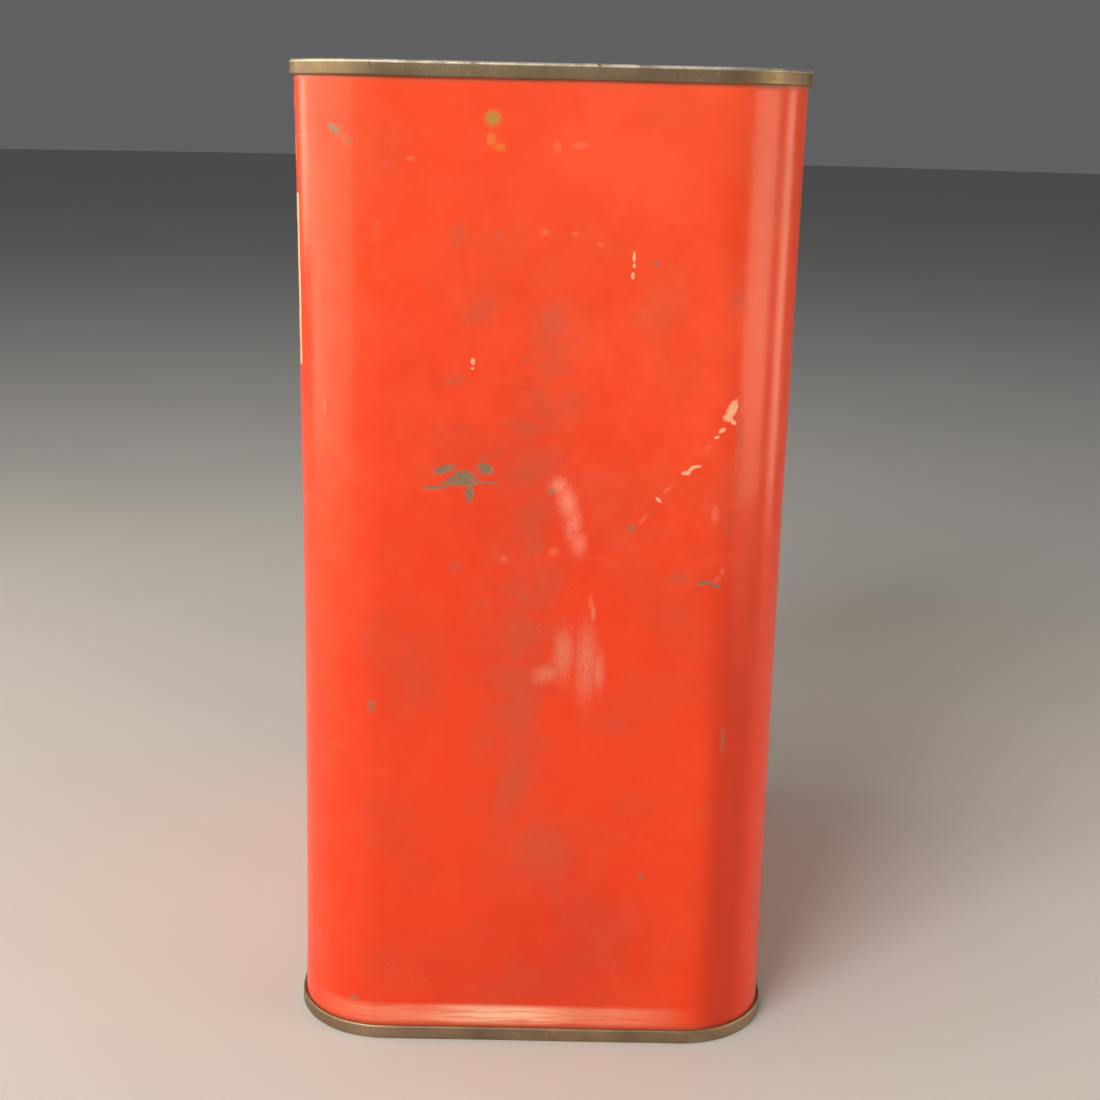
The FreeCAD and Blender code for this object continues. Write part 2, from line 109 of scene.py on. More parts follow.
# A soft key in front, and low panels at both sides that the round corners reflect:
# name, place, target, (width, height), watts, colour
LIGHTS = [
    ("key", (1.24, -0.74, 1.05), (0.05, 0.0, 0.16), (0.8, 0.8), 25.2, WARM),
    ("right_strip", (-0.077, 0.627, 0.18), (0.08, 0.045, 0.18), (0.15, 0.29), 0.64, AMBER),
    ("right_wall", (0.325, 0.592, 0.185), (0.08, 0.045, 0.185), (0.37, 0.28), 1.85, AMBER),
    ("left_strip", (-0.28, -0.645, 0.34), (0.08, -0.045, 0.34), (0.20, 0.30), 0.9, AMBER),
    ("left_low", (0.274, -0.82, 0.11), (0.08, -0.045, 0.11), (1.08, 0.19), 2.25, AMBER),
    ("left_high", (0.274, -0.82, 0.46), (0.08, -0.045, 0.46), (1.08, 0.48), 5.5, AMBER),
    ("overhead", (-0.35, 0.0, 1.8), (0.0, 0.0, 0.2), (1.4, 1.4), 5.0, WHITE),
]


def make_camera():
    """Square on to the +X panel, a little below the rim's level, looking down."""
    data = bpy.data.cameras.new("camera")
    camera = bpy.data.objects.new("camera", data)
    bpy.context.scene.collection.objects.link(camera)
    data.sensor_width = 36.0
    data.lens = LENS
    data.clip_end = FAR_CLIP
    level = Vector((-math.cos(YAW), -math.sin(YAW), 0))
    side = Vector((-math.sin(YAW), math.cos(YAW), 0))
    up = Vector((0, 0, 1))
    forward = level * math.cos(PITCH) - up * math.sin(PITCH)
    above = level * math.sin(PITCH) + up * math.cos(PITCH)
    right = side * math.cos(ROLL) + above * math.sin(ROLL)
    top = above * math.cos(ROLL) - side * math.sin(ROLL)
    turn = Matrix((right, top, -forward)).transposed()
    camera.matrix_world = Matrix.Translation(Vector(CAMERA_PLACE) * MM) @ turn.to_4x4()
    bpy.context.scene.camera = camera


def make_stage():
    bpy.ops.mesh.primitive_circle_add(vertices=96, radius=FLOOR_RADIUS, fill_type="NGON")
    floor = bpy.context.object
    floor.name = "floor"
    paint = Paint("pale_floor", specular=0.3)
    paint.rough(0.65)
    cloud = paint.noise(0.004, detail=2.0)
    paint.colour(paint.mix(cloud, *FLOOR_TONES))
    floor.data.materials.append(paint.material)
    world = bpy.data.worlds.new("studio")
    bpy.context.scene.world = world
    world.use_nodes = True
    background = world.node_tree.nodes["Background"]
    background.inputs["Color"].default_value = SKY_COLOUR
    background.inputs["Strength"].default_value = SKY_STRENGTH


def make_lights():
    for name, place, target, size, watts, colour in LIGHTS:
        data = bpy.data.lights.new(name, "AREA")
        data.shape = "RECTANGLE"
        data.size, data.size_y = size
        data.energy = watts
        data.color = colour
        light = bpy.data.objects.new(name, data)
        bpy.context.scene.collection.objects.link(light)
        light.location = place
        towards = Vector(target) - light.location
        light.rotation_euler = towards.to_track_quat("-Z", "Y").to_euler()


# ---------------------------------------------------------------- materials

class Paint:
    """One material, with short calls that add nodes and link them."""

    def __init__(self, name, specular=0.5):
        self.material = bpy.data.materials.new(name)
        self.material.use_nodes = True
        self.tree = self.material.node_tree
        self.tree.nodes.clear()
        output = self.node("ShaderNodeOutputMaterial")
        self.shader = self.node("ShaderNodeBsdfPrincipled")
        self.tree.links.new(self.shader.outputs[0], output.inputs[0])
        self.shader.inputs["Specular IOR Level"].default_value = specular
        place = self.node("ShaderNodeTexCoord").outputs["Object"]
        self.place = self.scaled(place, 1 / MM)
        split = self.node("ShaderNodeSeparateXYZ")
        self.put(split.inputs[0], self.place)
        self.z = split.outputs["Z"]

    def node(self, kind, **settings):
        made = self.tree.nodes.new(kind)
        for key, value in settings.items():
            setattr(made, key, value)
        return made

    def put(self, socket, value):
        if isinstance(value, bpy.types.NodeSocket):
            self.tree.links.new(value, socket)
        elif socket.type == "RGBA":
            socket.default_value = (*value, 1.0)
        else:
            socket.default_value = value

    def math(self, operation, a, b=0.0, c=0.0):
        node = self.node("ShaderNodeMath", operation=operation)
        for socket, value in zip(node.inputs, (a, b, c)):
            self.put(socket, value)
        return node.outputs[0]

    def add(self, a, b):
        return self.math("ADD", a, b)

    def minus(self, a, b):
        return self.math("SUBTRACT", a, b)

    def times(self, a, b):
        return self.math("MULTIPLY", a, b)

    def most(self, a, b):
        return self.math("MAXIMUM", a, b)

    def least(self, a, b):
        return self.math("MINIMUM", a, b)

    def scaled(self, vector, factor):
        node = self.node("ShaderNodeVectorMath", operation="SCALE")
        self.put(node.inputs[0], vector)
        node.inputs["Scale"].default_value = factor
        return node.outputs[0]

    def stretched(self, vector, factors):
        node = self.node("ShaderNodeVectorMath", operation="MULTIPLY")
        self.put(node.inputs[0], vector)
        node.inputs[1].default_value = factors
        return node.outputs[0]

    def joined(self, x, y, z=0.0):
        node = self.node("ShaderNodeCombineXYZ")
        for socket, value in zip(node.inputs, (x, y, z)):
            self.put(socket, value)
        return node.outputs[0]

    def noise(self, scale, detail=3.0, rough=0.55, warp=0.0, vector=None):
        """Noise from 0 to 1; scale is in features per millimetre."""
        node = self.node("ShaderNodeTexNoise")
        self.put(node.inputs["Vector"], vector or self.place)
        node.inputs["Scale"].default_value = scale
        node.inputs["Detail"].default_value = detail
        node.inputs["Roughness"].default_value = rough
        node.inputs["Distortion"].default_value = warp
        return node.outputs["Fac"]

    def step(self, value, low, high, start=0.0, end=1.0):
        """start below low and end above high, with a smooth change between."""
        node = self.node("ShaderNodeMapRange", interpolation_type="SMOOTHSTEP")
        for socket, number in zip(node.inputs[:5], (value, low, high, start, end)):
            self.put(socket, number)
        return node.outputs[0]

    def between(self, value, low, high, soft):
        """1 from low to high and 0 outside, with changes this soft to each side of the limits."""
        rising = self.step(value, low - soft, low + soft)
        falling = self.step(value, high - soft, high + soft, 1.0, 0.0)
        return self.times(rising, falling)

    def mix(self, share, a, b):
        """Colour a where share is 0, and colour b where it is 1."""
        node = self.node("ShaderNodeMix", data_type="RGBA")
        self.put(node.inputs[0], share)
        self.put(node.inputs[6], a)
        self.put(node.inputs[7], b)
        return node.outputs[2]

    def colour(self, value):
        self.put(self.shader.inputs["Base Color"], value)

    def rough(self, value):
        self.put(self.shader.inputs["Roughness"], value)

    def metal(self, value):
        self.put(self.shader.inputs["Metallic"], value)

    def bump(self, height, depth_mm):
        node = self.node("ShaderNodeBump")
        node.inputs["Strength"].default_value = 1.0
        node.inputs["Distance"].default_value = depth_mm * MM
        self.put(node.inputs["Height"], height)
        self.put(self.shader.inputs["Normal"], node.outputs[0])


def around(y):
    """Distance round the can from the label's middle, of a place seen square on at the +X panel."""
    past = max(abs(y) - FLAT_Y, 0.0)
    arc = CORNER * math.asin(min(past / CORNER, 1.0))
    return NARROW_MIDDLE + math.copysign(min(abs(y), FLAT_Y) + arc, y)


# Marks on the +X panel: (y, z, half width, half height, degrees)
CHIPS = [
    (-22.8, 173.6, 4.6, 1.05, 0), (-22.0, 175.0, 2.9, 1.9, -4), (-24.8, 174.0, 2.4, 1.2, 20),
    (-30.2, 171.9, 3.4, 0.42, 5), (-27.6, 177.2, 2.9, 0.95, 19), (-16.2, 177.5, 2.2, 1.45, -24),
    (-15.6, 173.6, 3.4, 0.28, -3), (-20.5, 170.3, 1.05, 2.4, -4), (-57.9, 268.9, 2.1, 1.0, -30),
    (46.2, 145.8, 1.9, 0.5, 12), (49.8, 144.9, 1.8, 0.4, -24),
]
DULL_CHIPS = [
    (-54.3, 265.9, 1.5, 1.2, -10), (2.4, 171.4, 1.3, 1.15, 30), (25.3, 161.4, 1.1, 1.2, 20),
    (29.6, 235.2, 0.9, 0.8, 0), (-54.0, 12.3, 1.2, 1.1, 0), (-48.3, 106.7, 1.3, 1.8, 10),
    (-62.0, 193.5, 0.6, 2.2, 0), (54.3, 97.9, 0.75, 3.2, 0), (31.8, 54.7, 1.0, 0.9, 0),
]
SMUDGES = [
    (-12.6, 182.9, 1.5, 3.2, -22), (-16.8, 180.8, 2.4, 1.8, 10), (-25.0, 202.2, 3.4, 1.5, 18),
    (1.2, 217.5, 4.6, 7.8, -14), (-4.6, 208.6, 2.6, 1.2, 20), (0.4, 193.2, 2.4, 4.0, 12),
    (-4.5, 189.5, 6.0, 2.2, -10), (-24.3, 241.7, 2.2, 3.4, -12), (-13.5, 242.2, 1.8, 1.2, 0),
    (52.2, 163.5, 1.5, 3.6, 5), (52.2, 225.9, 2.0, 2.8, 0), (-6.5, 84.0, 4.6, 13.0, -14),
    (-4.5, 108.0, 4.0, 15.0, -8), (39.0, 147.0, 3.4, 1.8, 0), (-22.4, 189.3, 1.6, 0.9, 10),
    (-3.0, 178.0, 9.0, 5.0, 30), (-18.0, 222.0, 6.0, 3.0, 40), (-46.5, 243.0, 0.9, 1.8, 0),
    (-24.6, 149.0, 1.7, 1.2, 0), (-16.6, 138.6, 1.4, 1.2, 0), (54.8, 186.0, 1.2, 9.0, 0),
    (2.0, 62.0, 9.0, 9.0, 20),
]
CREAM_CHIPS = [
    (52.2, 195.6, 1.3, 2.7, -24), (51.1, 193.4, 1.3, 1.2, 0), (52.7, 192.0, 1.0, 0.6, -30),
    (49.6, 189.8, 1.05, 0.6, 30), (48.1, 187.8, 0.7, 0.4, 20), (42.6, 179.4, 1.5, 0.40, 8),
    (41.2, 178.5, 0.9, 0.45, 30), (39.9, 177.5, 1.3, 0.55, 0), (32.5, 169.7, 1.0, 0.45, -38),
    (23.4, 236.9, 0.42, 1.3, 0), (23.5, 234.6, 0.36, 0.6, 0), (23.2, 231.9, 0.45, 0.8, 0),
    (-19.9, 207.6, 0.60, 0.9, 0), (-20.0, 205.6, 0.40, 0.35, 0),
]
FAINT_CHIPS = [
    (7.4, 242.6, 0.9, 0.6, 0), (-1.0, 242.9, 1.2, 0.8, 0), (14.2, 240.0, 0.8, 0.5, -20),
    (46.0, 185.0, 1.0, 0.4, 35), (-46.0, 244.6, 0.5, 0.4, 0), (35.0, 172.6, 1.6, 0.4, 40),
    (28.5, 164.0, 1.6, 0.5, 50),
    (51.6, 149.0, 0.8, 1.0, 0), (50.2, 146.7, 1.2, 0.7, 30), (48.6, 165.6, 1.0, 2.4, 0),
    (14.4, 139.6, 0.6, 1.8, 0), (3.6, 154.0, 1.2, 1.1, 0), (-10.6, 151.6, 0.8, 0.8, 0),
    (-37.0, 261.6, 1.2, 0.6, 0), (2.0, 265.5, 0.9, 1.2, 0), (8.0, 266.0, 1.8, 0.8, 0),
]
SCUFFS = [
    (4.6, 173.0, 2.2, 2.0, 30), (7.2, 168.0, 2.3, 4.6, 12), (8.9, 161.5, 1.9, 4.6, 0),
    (10.6, 156.4, 1.9, 3.0, 0), (7.0, 123.6, 2.5, 6.6, 0), (2.2, 117.4, 3.4, 2.2, 20),
    (13.6, 121.0, 2.6, 9.6, 0), (17.2, 118.6, 1.4, 5.2, 0), (15.2, 136.0, 0.6, 2.4, 0),
]
STAINS = [(-15.3, 272.4, 2.0, 1.9, 0), (-15.6, 266.9, 1.2, 1.6, 0), (-13.4, 265.0, 1.5, 1.0, 0)]

BATCH = 10  # spots worked out together
FLATTENED = 1e6  # scale that takes all weight from a coordinate


class Litho(Paint):
    """Printed enamel of the body, laid out by distance round the can and height."""

    def __init__(self, name, specular):
        super().__init__(name, specular)
        self.u = self.node("ShaderNodeAttribute", attribute_name="around").outputs["Fac"]
        self.latest = 0.0

    def edge_of(self, spots, grain, ragged):
        """Distance from the nearest of these ragged spots, 1 at its edge.

        Each batch of spots is given the last result as an all but flattened third coordinate, so
        that the batches are worked out one after another and little has to be held at a time.
        """
        nearest = None
        for number, (y, z, half_width, half_height, degrees) in enumerate(spots):
            if number % BATCH == 0:
                flat = self.joined(self.u, self.z, self.latest)
            turn = self.node("ShaderNodeMapping", vector_type="TEXTURE")
            self.put(turn.inputs["Vector"], flat)
            turn.inputs["Location"].default_value = (around(y), z, 0)
            turn.inputs["Rotation"].default_value = (0, 0, math.radians(degrees))
            turn.inputs["Scale"].default_value = (half_width, half_height, FLATTENED)
            length = self.node("ShaderNodeVectorMath", operation="LENGTH")
            self.put(length.inputs[0], turn.outputs[0])
            distance = length.outputs["Value"]
            nearest = distance if nearest is None else self.least(nearest, distance)
            self.latest = nearest
        return self.add(nearest, self.times(self.minus(grain, 0.5), ragged))

    def inside(self, edge, soft):
        """1 well inside an edge_of distance's spots, and 0 outside."""
        return self.step(edge, 1.0 - soft, 1.0 + soft, 1.0, 0.0)

    def box(self, middle, half, low, high, soft=0.12):
        """1 inside a printed rectangle, middle being a distance round the can."""
        across = self.math("ABSOLUTE", self.minus(self.u, middle))
        inside = self.step(across, half - soft, half + soft, 1.0, 0.0)
        return self.times(inside, self.between(self.z, low, high, soft))

    def disc(self, middle, height, radius, soft=0.12):
        """1 inside a printed disc."""
        du, dz = self.minus(self.u, middle), self.minus(self.z, height)
        far = self.math("SQRT", self.add(self.times(du, du), self.times(dz, dz)))
        return self.step(far, radius - soft, radius + soft, 1.0, 0.0)

    def drop(self, middle, height, radius, rise):
        """Teardrop: a round foot of this radius at height, and a point rise above it."""
        across = self.math("ABSOLUTE", self.minus(self.u, middle))
        up = self.minus(self.z, height)
        share = self.math("POWER", self.most(self.times(up, 1 / rise), 0.0), 1.5)
        upper = self.times(self.minus(1.0, share), radius)
        down = self.least(self.times(up, 1 / radius), 0.0)
        lower = self.math("SQRT", self.most(self.minus(1.0, self.times(down, down)), 0.0))
        width = self.least(upper, self.times(lower, radius))
        return self.step(self.minus(width, across), -0.1, 0.15)


CREAM = (0.74, 0.60, 0.38)
NAVY = (0.020, 0.030, 0.055)
YELLOW = (0.80, 0.36, 0.045)
RED = (0.70, 0.044, 0.008)
RED_DEEP = (0.59, 0.032, 0.007)
# paler red: painted light high on the body, and mottling from fading
RED_LIT_AND_FADED = (0.77, 0.086, 0.033)
INK_SPECKLE = (0.42, 0.05, 0.03)
SHADED = (0.52, 0.030, 0.010)
# soil colour, also used for painted shade by the seams
GRIME_AND_SHADE = (0.27, 0.100, 0.055)
# painted shade colour for the band round the +Y bend
BEND_SHADE = (0.40, 0.024, 0.008)
SCUFF_GREY = (0.56, 0.33, 0.23)
SCUFF_PINK = (0.80, 0.34, 0.24)
# colour of the pale band just above the bottom seam
PALE_BAND_TONE = (0.80, 0.42, 0.27)
SCRATCH = (0.60, 0.42, 0.30)
RUBBING = (0.42, 0.22, 0.13)
CHIP_HALO = (0.36, 0.13, 0.07)
BARE_METAL = (0.180, 0.125, 0.080)
BARE_METAL_PALE = (0.235, 0.20, 0.125)
DULL_CHIP = (0.25, 0.125, 0.07)
FAINT_CHIP = (0.84, 0.34, 0.20)
UNDERCOAT = (0.82, 0.44, 0.27)
STAIN_ORANGE = (0.62, 0.16, 0.03)
STAIN_OLIVE = (0.34, 0.24, 0.045)
MARGIN_PALE = (0.30, 0.27, 0.22)
MARGIN_DARK = (0.17, 0.14, 0.11)

# The label art: heights and radii in millimetres
BANNER = (203.0, 251.0)
BANNER_FIELD = (218.0, 243.0)
BANNER_RULE = (207.5, 210.0)
BANNER_BORDER = 3.6
STRIPE_FOOT = 220.0
STRIPE_THICKNESS = 2.6
STRIPE_STEPS = (3.0, 8.5, 14.0)  # each stripe is this much higher and shorter
RAYS = (256.0, 276.5)
RAY_COUNT = 52.0  # in a full turn about the point below the banner that they leave from
RAY_CENTRE = 214.0
BADGE_HEIGHT = 230.0
BADGE_RINGS = ((19.5, CREAM), (17.6, RED_DEEP))
EMBLEM_HEIGHT = 118.0
EMBLEM_RINGS = ((58.0, CREAM), (55.0, NAVY), (51.5, CREAM), (50.0, RED))
EMBLEM_DROPS = ((104.0, 22.0, 54.0, CREAM), (104.5, 18.6, 46.0, YELLOW))
FOOT_LINES = ((28.0, 33.0), (36.0, 37.6), (23.6, 25.0))


def printed(p, ground):
    """The generic label art over the red ground; the front's banner runs on round its corners."""
    art = ground
    for middle, half in ((0.0, FLAT_X + 9.3), (BACK_MIDDLE, FLAT_X - 6.0)):
        art = p.mix(p.box(middle, half, *BANNER), art, CREAM)
        art = p.mix(p.box(middle, half - BANNER_BORDER, *BANNER_FIELD), art, NAVY)
        art = p.mix(p.box(middle, half - BANNER_BORDER, *BANNER_RULE), art, NAVY)
        for reach in STRIPE_STEPS:
            low = STRIPE_FOOT + reach
            stripe = p.box(middle, half - 8.0 - reach, low, low + STRIPE_THICKNESS)
            middle_gap = p.box(middle, 27.0, 215.0, 246.0)
            art = p.mix(p.minus(stripe, p.least(stripe, middle_gap)), art, CREAM)
        for radius, colour in BADGE_RINGS:
            art = p.mix(p.disc(middle, BADGE_HEIGHT, radius), art, colour)
        art = p.mix(p.drop(middle, 225.5, 7.2, 17.0), art, CREAM)
        angle = p.math("ARCTAN2", p.minus(p.z, RAY_CENTRE), p.minus(p.u, middle))
        rays = p.step(p.math("SINE", p.times(angle, RAY_COUNT)), -0.15, 0.15)
        sky = p.box(middle, half - 2.5, *RAYS)
        art = p.mix(p.times(p.times(sky, rays), 0.85), art, YELLOW)
        for radius, colour in EMBLEM_RINGS:
            art = p.mix(p.disc(middle, EMBLEM_HEIGHT, radius), art, colour)
        for height, radius, rise, colour in EMBLEM_DROPS:
            art = p.mix(p.drop(middle, height, radius, rise), art, colour)
        for low, high in FOOT_LINES:
            art = p.mix(p.box(middle, FLAT_X - 4.0, low, high), art, CREAM)
    return art


def inked(p, cloud, mottle, fine):
    """The print as new, but for painted light, which makes the red paler towards the top and most on the
    narrow panel, and for paler mottling from fading.
    """
    ground = p.mix(p.times(p.step(cloud, 0.40, 0.75), 0.55), RED, RED_DEEP)
    # painted light: the red grows paler towards the top, with a mottled edge, more towards +Y
    painted_top_light = p.step(p.add(p.z, p.times(p.minus(mottle, 0.5), 160.0)), 120.0, 300.0)
    painted_top_light = p.times(painted_top_light, p.step(p.minus(p.u, NARROW_MIDDLE), -40.0, 30.0, 0.55, 0.9))
    ground = p.mix(painted_top_light, ground, RED_LIT_AND_FADED)
    ground = p.mix(p.times(p.step(mottle, 0.40, 0.75), 0.22), ground, RED_LIT_AND_FADED)
    art = printed(p, ground)
    return p.mix(p.times(p.step(fine, 0.3, 0.8), 0.10), art, INK_SPECKLE)


def dirtied_and_shaded(p, art, mottle, streak, seam_foot):
    """Soiling and painted shade: a slanting smudge down the narrow panel, patches, darkening by the seams
    that is partly soiling and partly painted shade under them, and a painted shade band round the +Y bend.
    """
    slant = p.add(p.minus(p.u, NARROW_MIDDLE), p.times(p.minus(p.z, 150.0), -0.085))
    smudge = p.between(slant, -11.0, 5.0, 9.0)
    smudge = p.times(smudge, p.between(p.z, 70.0, 225.0, 35.0))
    smudge = p.times(smudge, p.step(p.noise(0.11, detail=3.0, rough=0.55), 0.30, 0.70))
    blot = p.noise(0.16, detail=5.0, rough=0.7)
    patches = p.inside(p.edge_of(SMUDGES, p.add(p.times(blot, 0.7), p.times(streak, 0.3)), 3.0), 0.80)
    patches = p.times(patches, p.step(blot, 0.30, 0.65, 0.35, 1.0))
    dirt_and_shade = p.most(p.times(smudge, 0.36), p.times(patches, 0.42))
    film = p.times(p.step(p.noise(0.03, detail=5.0, rough=0.65), 0.45, 0.8), 0.22)
    dirt_and_shade = p.most(dirt_and_shade, film)
    # painted shade with soiling: darker just below the top seam and just above the bottom seam
    dirt_and_shade = p.most(dirt_and_shade, p.times(seam_foot, 0.55))
    shade = p.times(p.step(p.noise(0.022, detail=4.0, rough=0.6), 0.36, 0.66), 0.40)
    off_middle = p.math("ABSOLUTE", p.minus(p.u, NARROW_MIDDLE - 4.0))
    middle_shade = p.times(p.step(off_middle, 6.0, 32.0, 0.34, 0.0), p.step(p.z, 180.0, 240.0, 1.0, 0.2))
    shade = p.add(shade, middle_shade)
    skin = p.mix(shade, art, p.mix(0.5, art, SHADED))
    skin = p.mix(dirt_and_shade, skin, GRIME_AND_SHADE)
    # painted shade: a darker red band just round the +Y corner's bend, strongest low down
    bend_shade = p.between(p.minus(p.u, NARROW_MIDDLE), FLAT_Y + 7.0, FLAT_Y + 20.0, 4.0)
    bend_shade = p.times(bend_shade, p.step(p.z, 90.0, 190.0, 0.62, 0.08))
    skin = p.mix(p.times(bend_shade, p.step(mottle, 0.2, 0.6, 0.75, 1.0)), skin, BEND_SHADE)
    return skin, dirt_and_shade


def scuffs_and_pale_band(p, skin, level_streak):
    """Scuffed places, paler than the enamel, and the streaky band above the bottom seam."""
    brushed = p.noise(1.7, detail=4.0, rough=0.7, vector=p.stretched(p.place, (1.0, 1.0, 0.40)))
    scuffs = p.inside(p.edge_of(SCUFFS, brushed, 3.4), 0.90)
    scuffs = p.times(scuffs, p.step(brushed, 0.34, 0.64, 0.30, 1.0))
    scuffs = p.times(scuffs, p.step(p.z, 156.0, 168.0, 0.46, 0.64))
    skin = p.mix(scuffs, skin, p.mix(p.step(p.z, 138.0, 150.0), SCUFF_GREY, SCUFF_PINK))
    # a pale streaky band just above the bottom seam, strongest near the narrow panel
    near_narrow = p.math("ABSOLUTE", p.minus(p.u, NARROW_MIDDLE - 10.0))
    pale_band = p.times(p.between(p.z, 5.4, 11.0, 1.1), p.step(near_narrow, 34.0, 64.0, 1.0, 0.0))
    pale_band = p.times(pale_band, p.step(level_streak, 0.22, 0.55, 0.25, 1.0))
    core = p.step(near_narrow, 6.0, 26.0, 1.0, 0.35)
    return p.mix(p.times(pale_band, core), skin, PALE_BAND_TONE), scuffs


def scratched(p, skin, off_narrow):
    """Handling scratches and rubbing, mostly off the narrow panel."""
    tilted = p.node("ShaderNodeMapping")
    p.put(tilted.inputs["Vector"], p.place)
    tilted.inputs["Rotation"].default_value = (0.5, 0.45, 0.3)
    lines = p.noise(1.1, detail=2.0, vector=p.stretched(tilted.outputs[0], (1.0, 1.0, 0.025)))
    level_lines = p.noise(1.3, detail=2.0, vector=p.stretched(p.place, (0.02, 0.02, 1.0)))
    scratches = p.most(p.step(lines, 0.705, 0.725), p.step(level_lines, 0.73, 0.75))
    where = p.step(p.noise(0.018, detail=3.0), 0.46, 0.60)
    scratches = p.times(p.times(scratches, where), p.step(off_narrow, 0.0, 1.0, 0.22, 0.85))
    skin = p.mix(p.times(scratches, 0.55), skin, SCRATCH)
    rubbing = p.times(p.step(p.noise(0.07, detail=6.0, rough=0.75), 0.55, 0.75), off_narrow)
    return p.mix(p.times(rubbing, 0.38), skin, RUBBING)


def chipped(p, skin, coarse, off_narrow, seam_foot):
    """Losses down to the metal, and places where the undercoat shows cream."""
    edge_specks = p.step(p.add(coarse, p.times(seam_foot, 0.07)), 0.725, 0.745)
    loss = p.times(p.step(p.noise(0.22, detail=5.0, rough=0.62, warp=0.5), 0.700, 0.712), off_narrow)
    loss = p.most(loss, p.times(edge_specks, p.most(off_narrow, p.times(seam_foot, 0.8))))
    torn = p.noise(1.0, detail=5.0, rough=0.75)
    chip_edge = p.edge_of(CHIPS, torn, 2.6)
    chips = p.most(p.times(p.inside(chip_edge, 0.28), 0.90), loss)
    halo = p.times(p.inside(chip_edge, 0.75), 0.42)
    skin = p.mix(halo, skin, CHIP_HALO)
    metal_tone = p.mix(p.step(torn, 0.3, 0.7), BARE_METAL, BARE_METAL_PALE)
    skin = p.mix(chips, skin, metal_tone)
    dull = p.inside(p.edge_of(DULL_CHIPS, torn, 2.4), 0.60)
    skin = p.mix(p.times(dull, 0.62), skin, DULL_CHIP)
    cream = p.inside(p.edge_of(CREAM_CHIPS, torn, 1.4), 0.30)
    faint = p.inside(p.edge_of(FAINT_CHIPS, torn, 2.4), 0.80)
    skin = p.mix(p.times(faint, 0.18), skin, FAINT_CHIP)
    skin = p.mix(p.times(cream, 0.78), skin, UNDERCOAT)
    stains = p.inside(p.edge_of(STAINS, coarse, 0.9), 0.50)
    stain_tone = p.mix(p.step(p.z, 268.0, 270.0), STAIN_ORANGE, STAIN_OLIVE)
    return p.mix(p.times(stains, 0.80), skin, stain_tone), chips, cream


def lock_margin(p):
    """1 on the plain margin of the sheet by the lock seam, met at both ends of the way round."""
    middle, half = -3.2, 4.6
    here = p.box(NARROW_MIDDLE * 3 + middle, half, -5.0, HEIGHT + 5.0, soft=0.25)
    there = p.box(-NARROW_MIDDLE + middle, half, -5.0, HEIGHT + 5.0, soft=0.25)
    return p.most(here, there)


def enamel():
    """The body's lithographed enamel, with all its wear."""
    p = Litho("red_lithograph", specular=0.25)
    cloud = p.noise(0.016, detail=3.0)
    grain = p.noise(1.3, detail=3.0, rough=0.6)
    fine = p.noise(4.5, detail=2.0)
    mottle = p.noise(0.09, detail=4.0, rough=0.6, warp=0.4)
    coarse = p.noise(0.42, detail=4.0, rough=0.65)
    streak = p.noise(0.5, detail=3.0, vector=p.stretched(p.place, (1.0, 1.0, 0.10)))
    level_streak = p.noise(1.0, detail=3.0, vector=p.stretched(p.place, (0.06, 0.06, 1.0)))
    seam_foot = p.most(p.step(p.z, 4.0, 6.5, 1.0, 0.0), p.step(p.z, HEIGHT - 6.3, HEIGHT - 4.2))
    off_narrow = p.step(p.math("ABSOLUTE", p.minus(p.u, NARROW_MIDDLE)), 62.0, 90.0)

    art = inked(p, cloud, mottle, fine)
    skin, dirt_and_shade = dirtied_and_shaded(p, art, mottle, streak, seam_foot)
    skin, scuffs = scuffs_and_pale_band(p, skin, level_streak)
    skin = scratched(p, skin, off_narrow)
    skin, chips, cream = chipped(p, skin, coarse, off_narrow, seam_foot)
    margin = lock_margin(p)
    p.colour(p.mix(margin, skin, p.mix(p.step(mottle, 0.4, 0.6), MARGIN_PALE, MARGIN_DARK)))

    bare = p.most(chips, margin)
    p.metal(p.times(bare, 0.35))
    gloss = p.add(0.19, p.times(mottle, 0.09))
    gloss = p.add(gloss, p.times(p.most(dirt_and_shade, scuffs), 0.30))
    p.rough(p.most(gloss, p.times(p.most(bare, cream), 0.55)))
    relief = p.times(p.minus(1.0, p.most(chips, cream)), 0.06)
    relief = p.add(relief, p.times(grain, 0.010))
    relief = p.add(relief, p.times(mottle, 0.05))
    p.bump(p.add(relief, p.times(streak, 0.008)), 1.0)
    return p.material


# rim top colour: painted highlight with rubbed wear
RIM_WORN_AND_LIT = (0.74, 0.67, 0.55)
RUST_TONES = ((0.20, 0.075, 0.028), (0.10, 0.040, 0.020))
SOLDER_TONES = ((0.31, 0.285, 0.245), (0.175, 0.158, 0.135))
SOLDER_DIRT = (0.10, 0.088, 0.072)


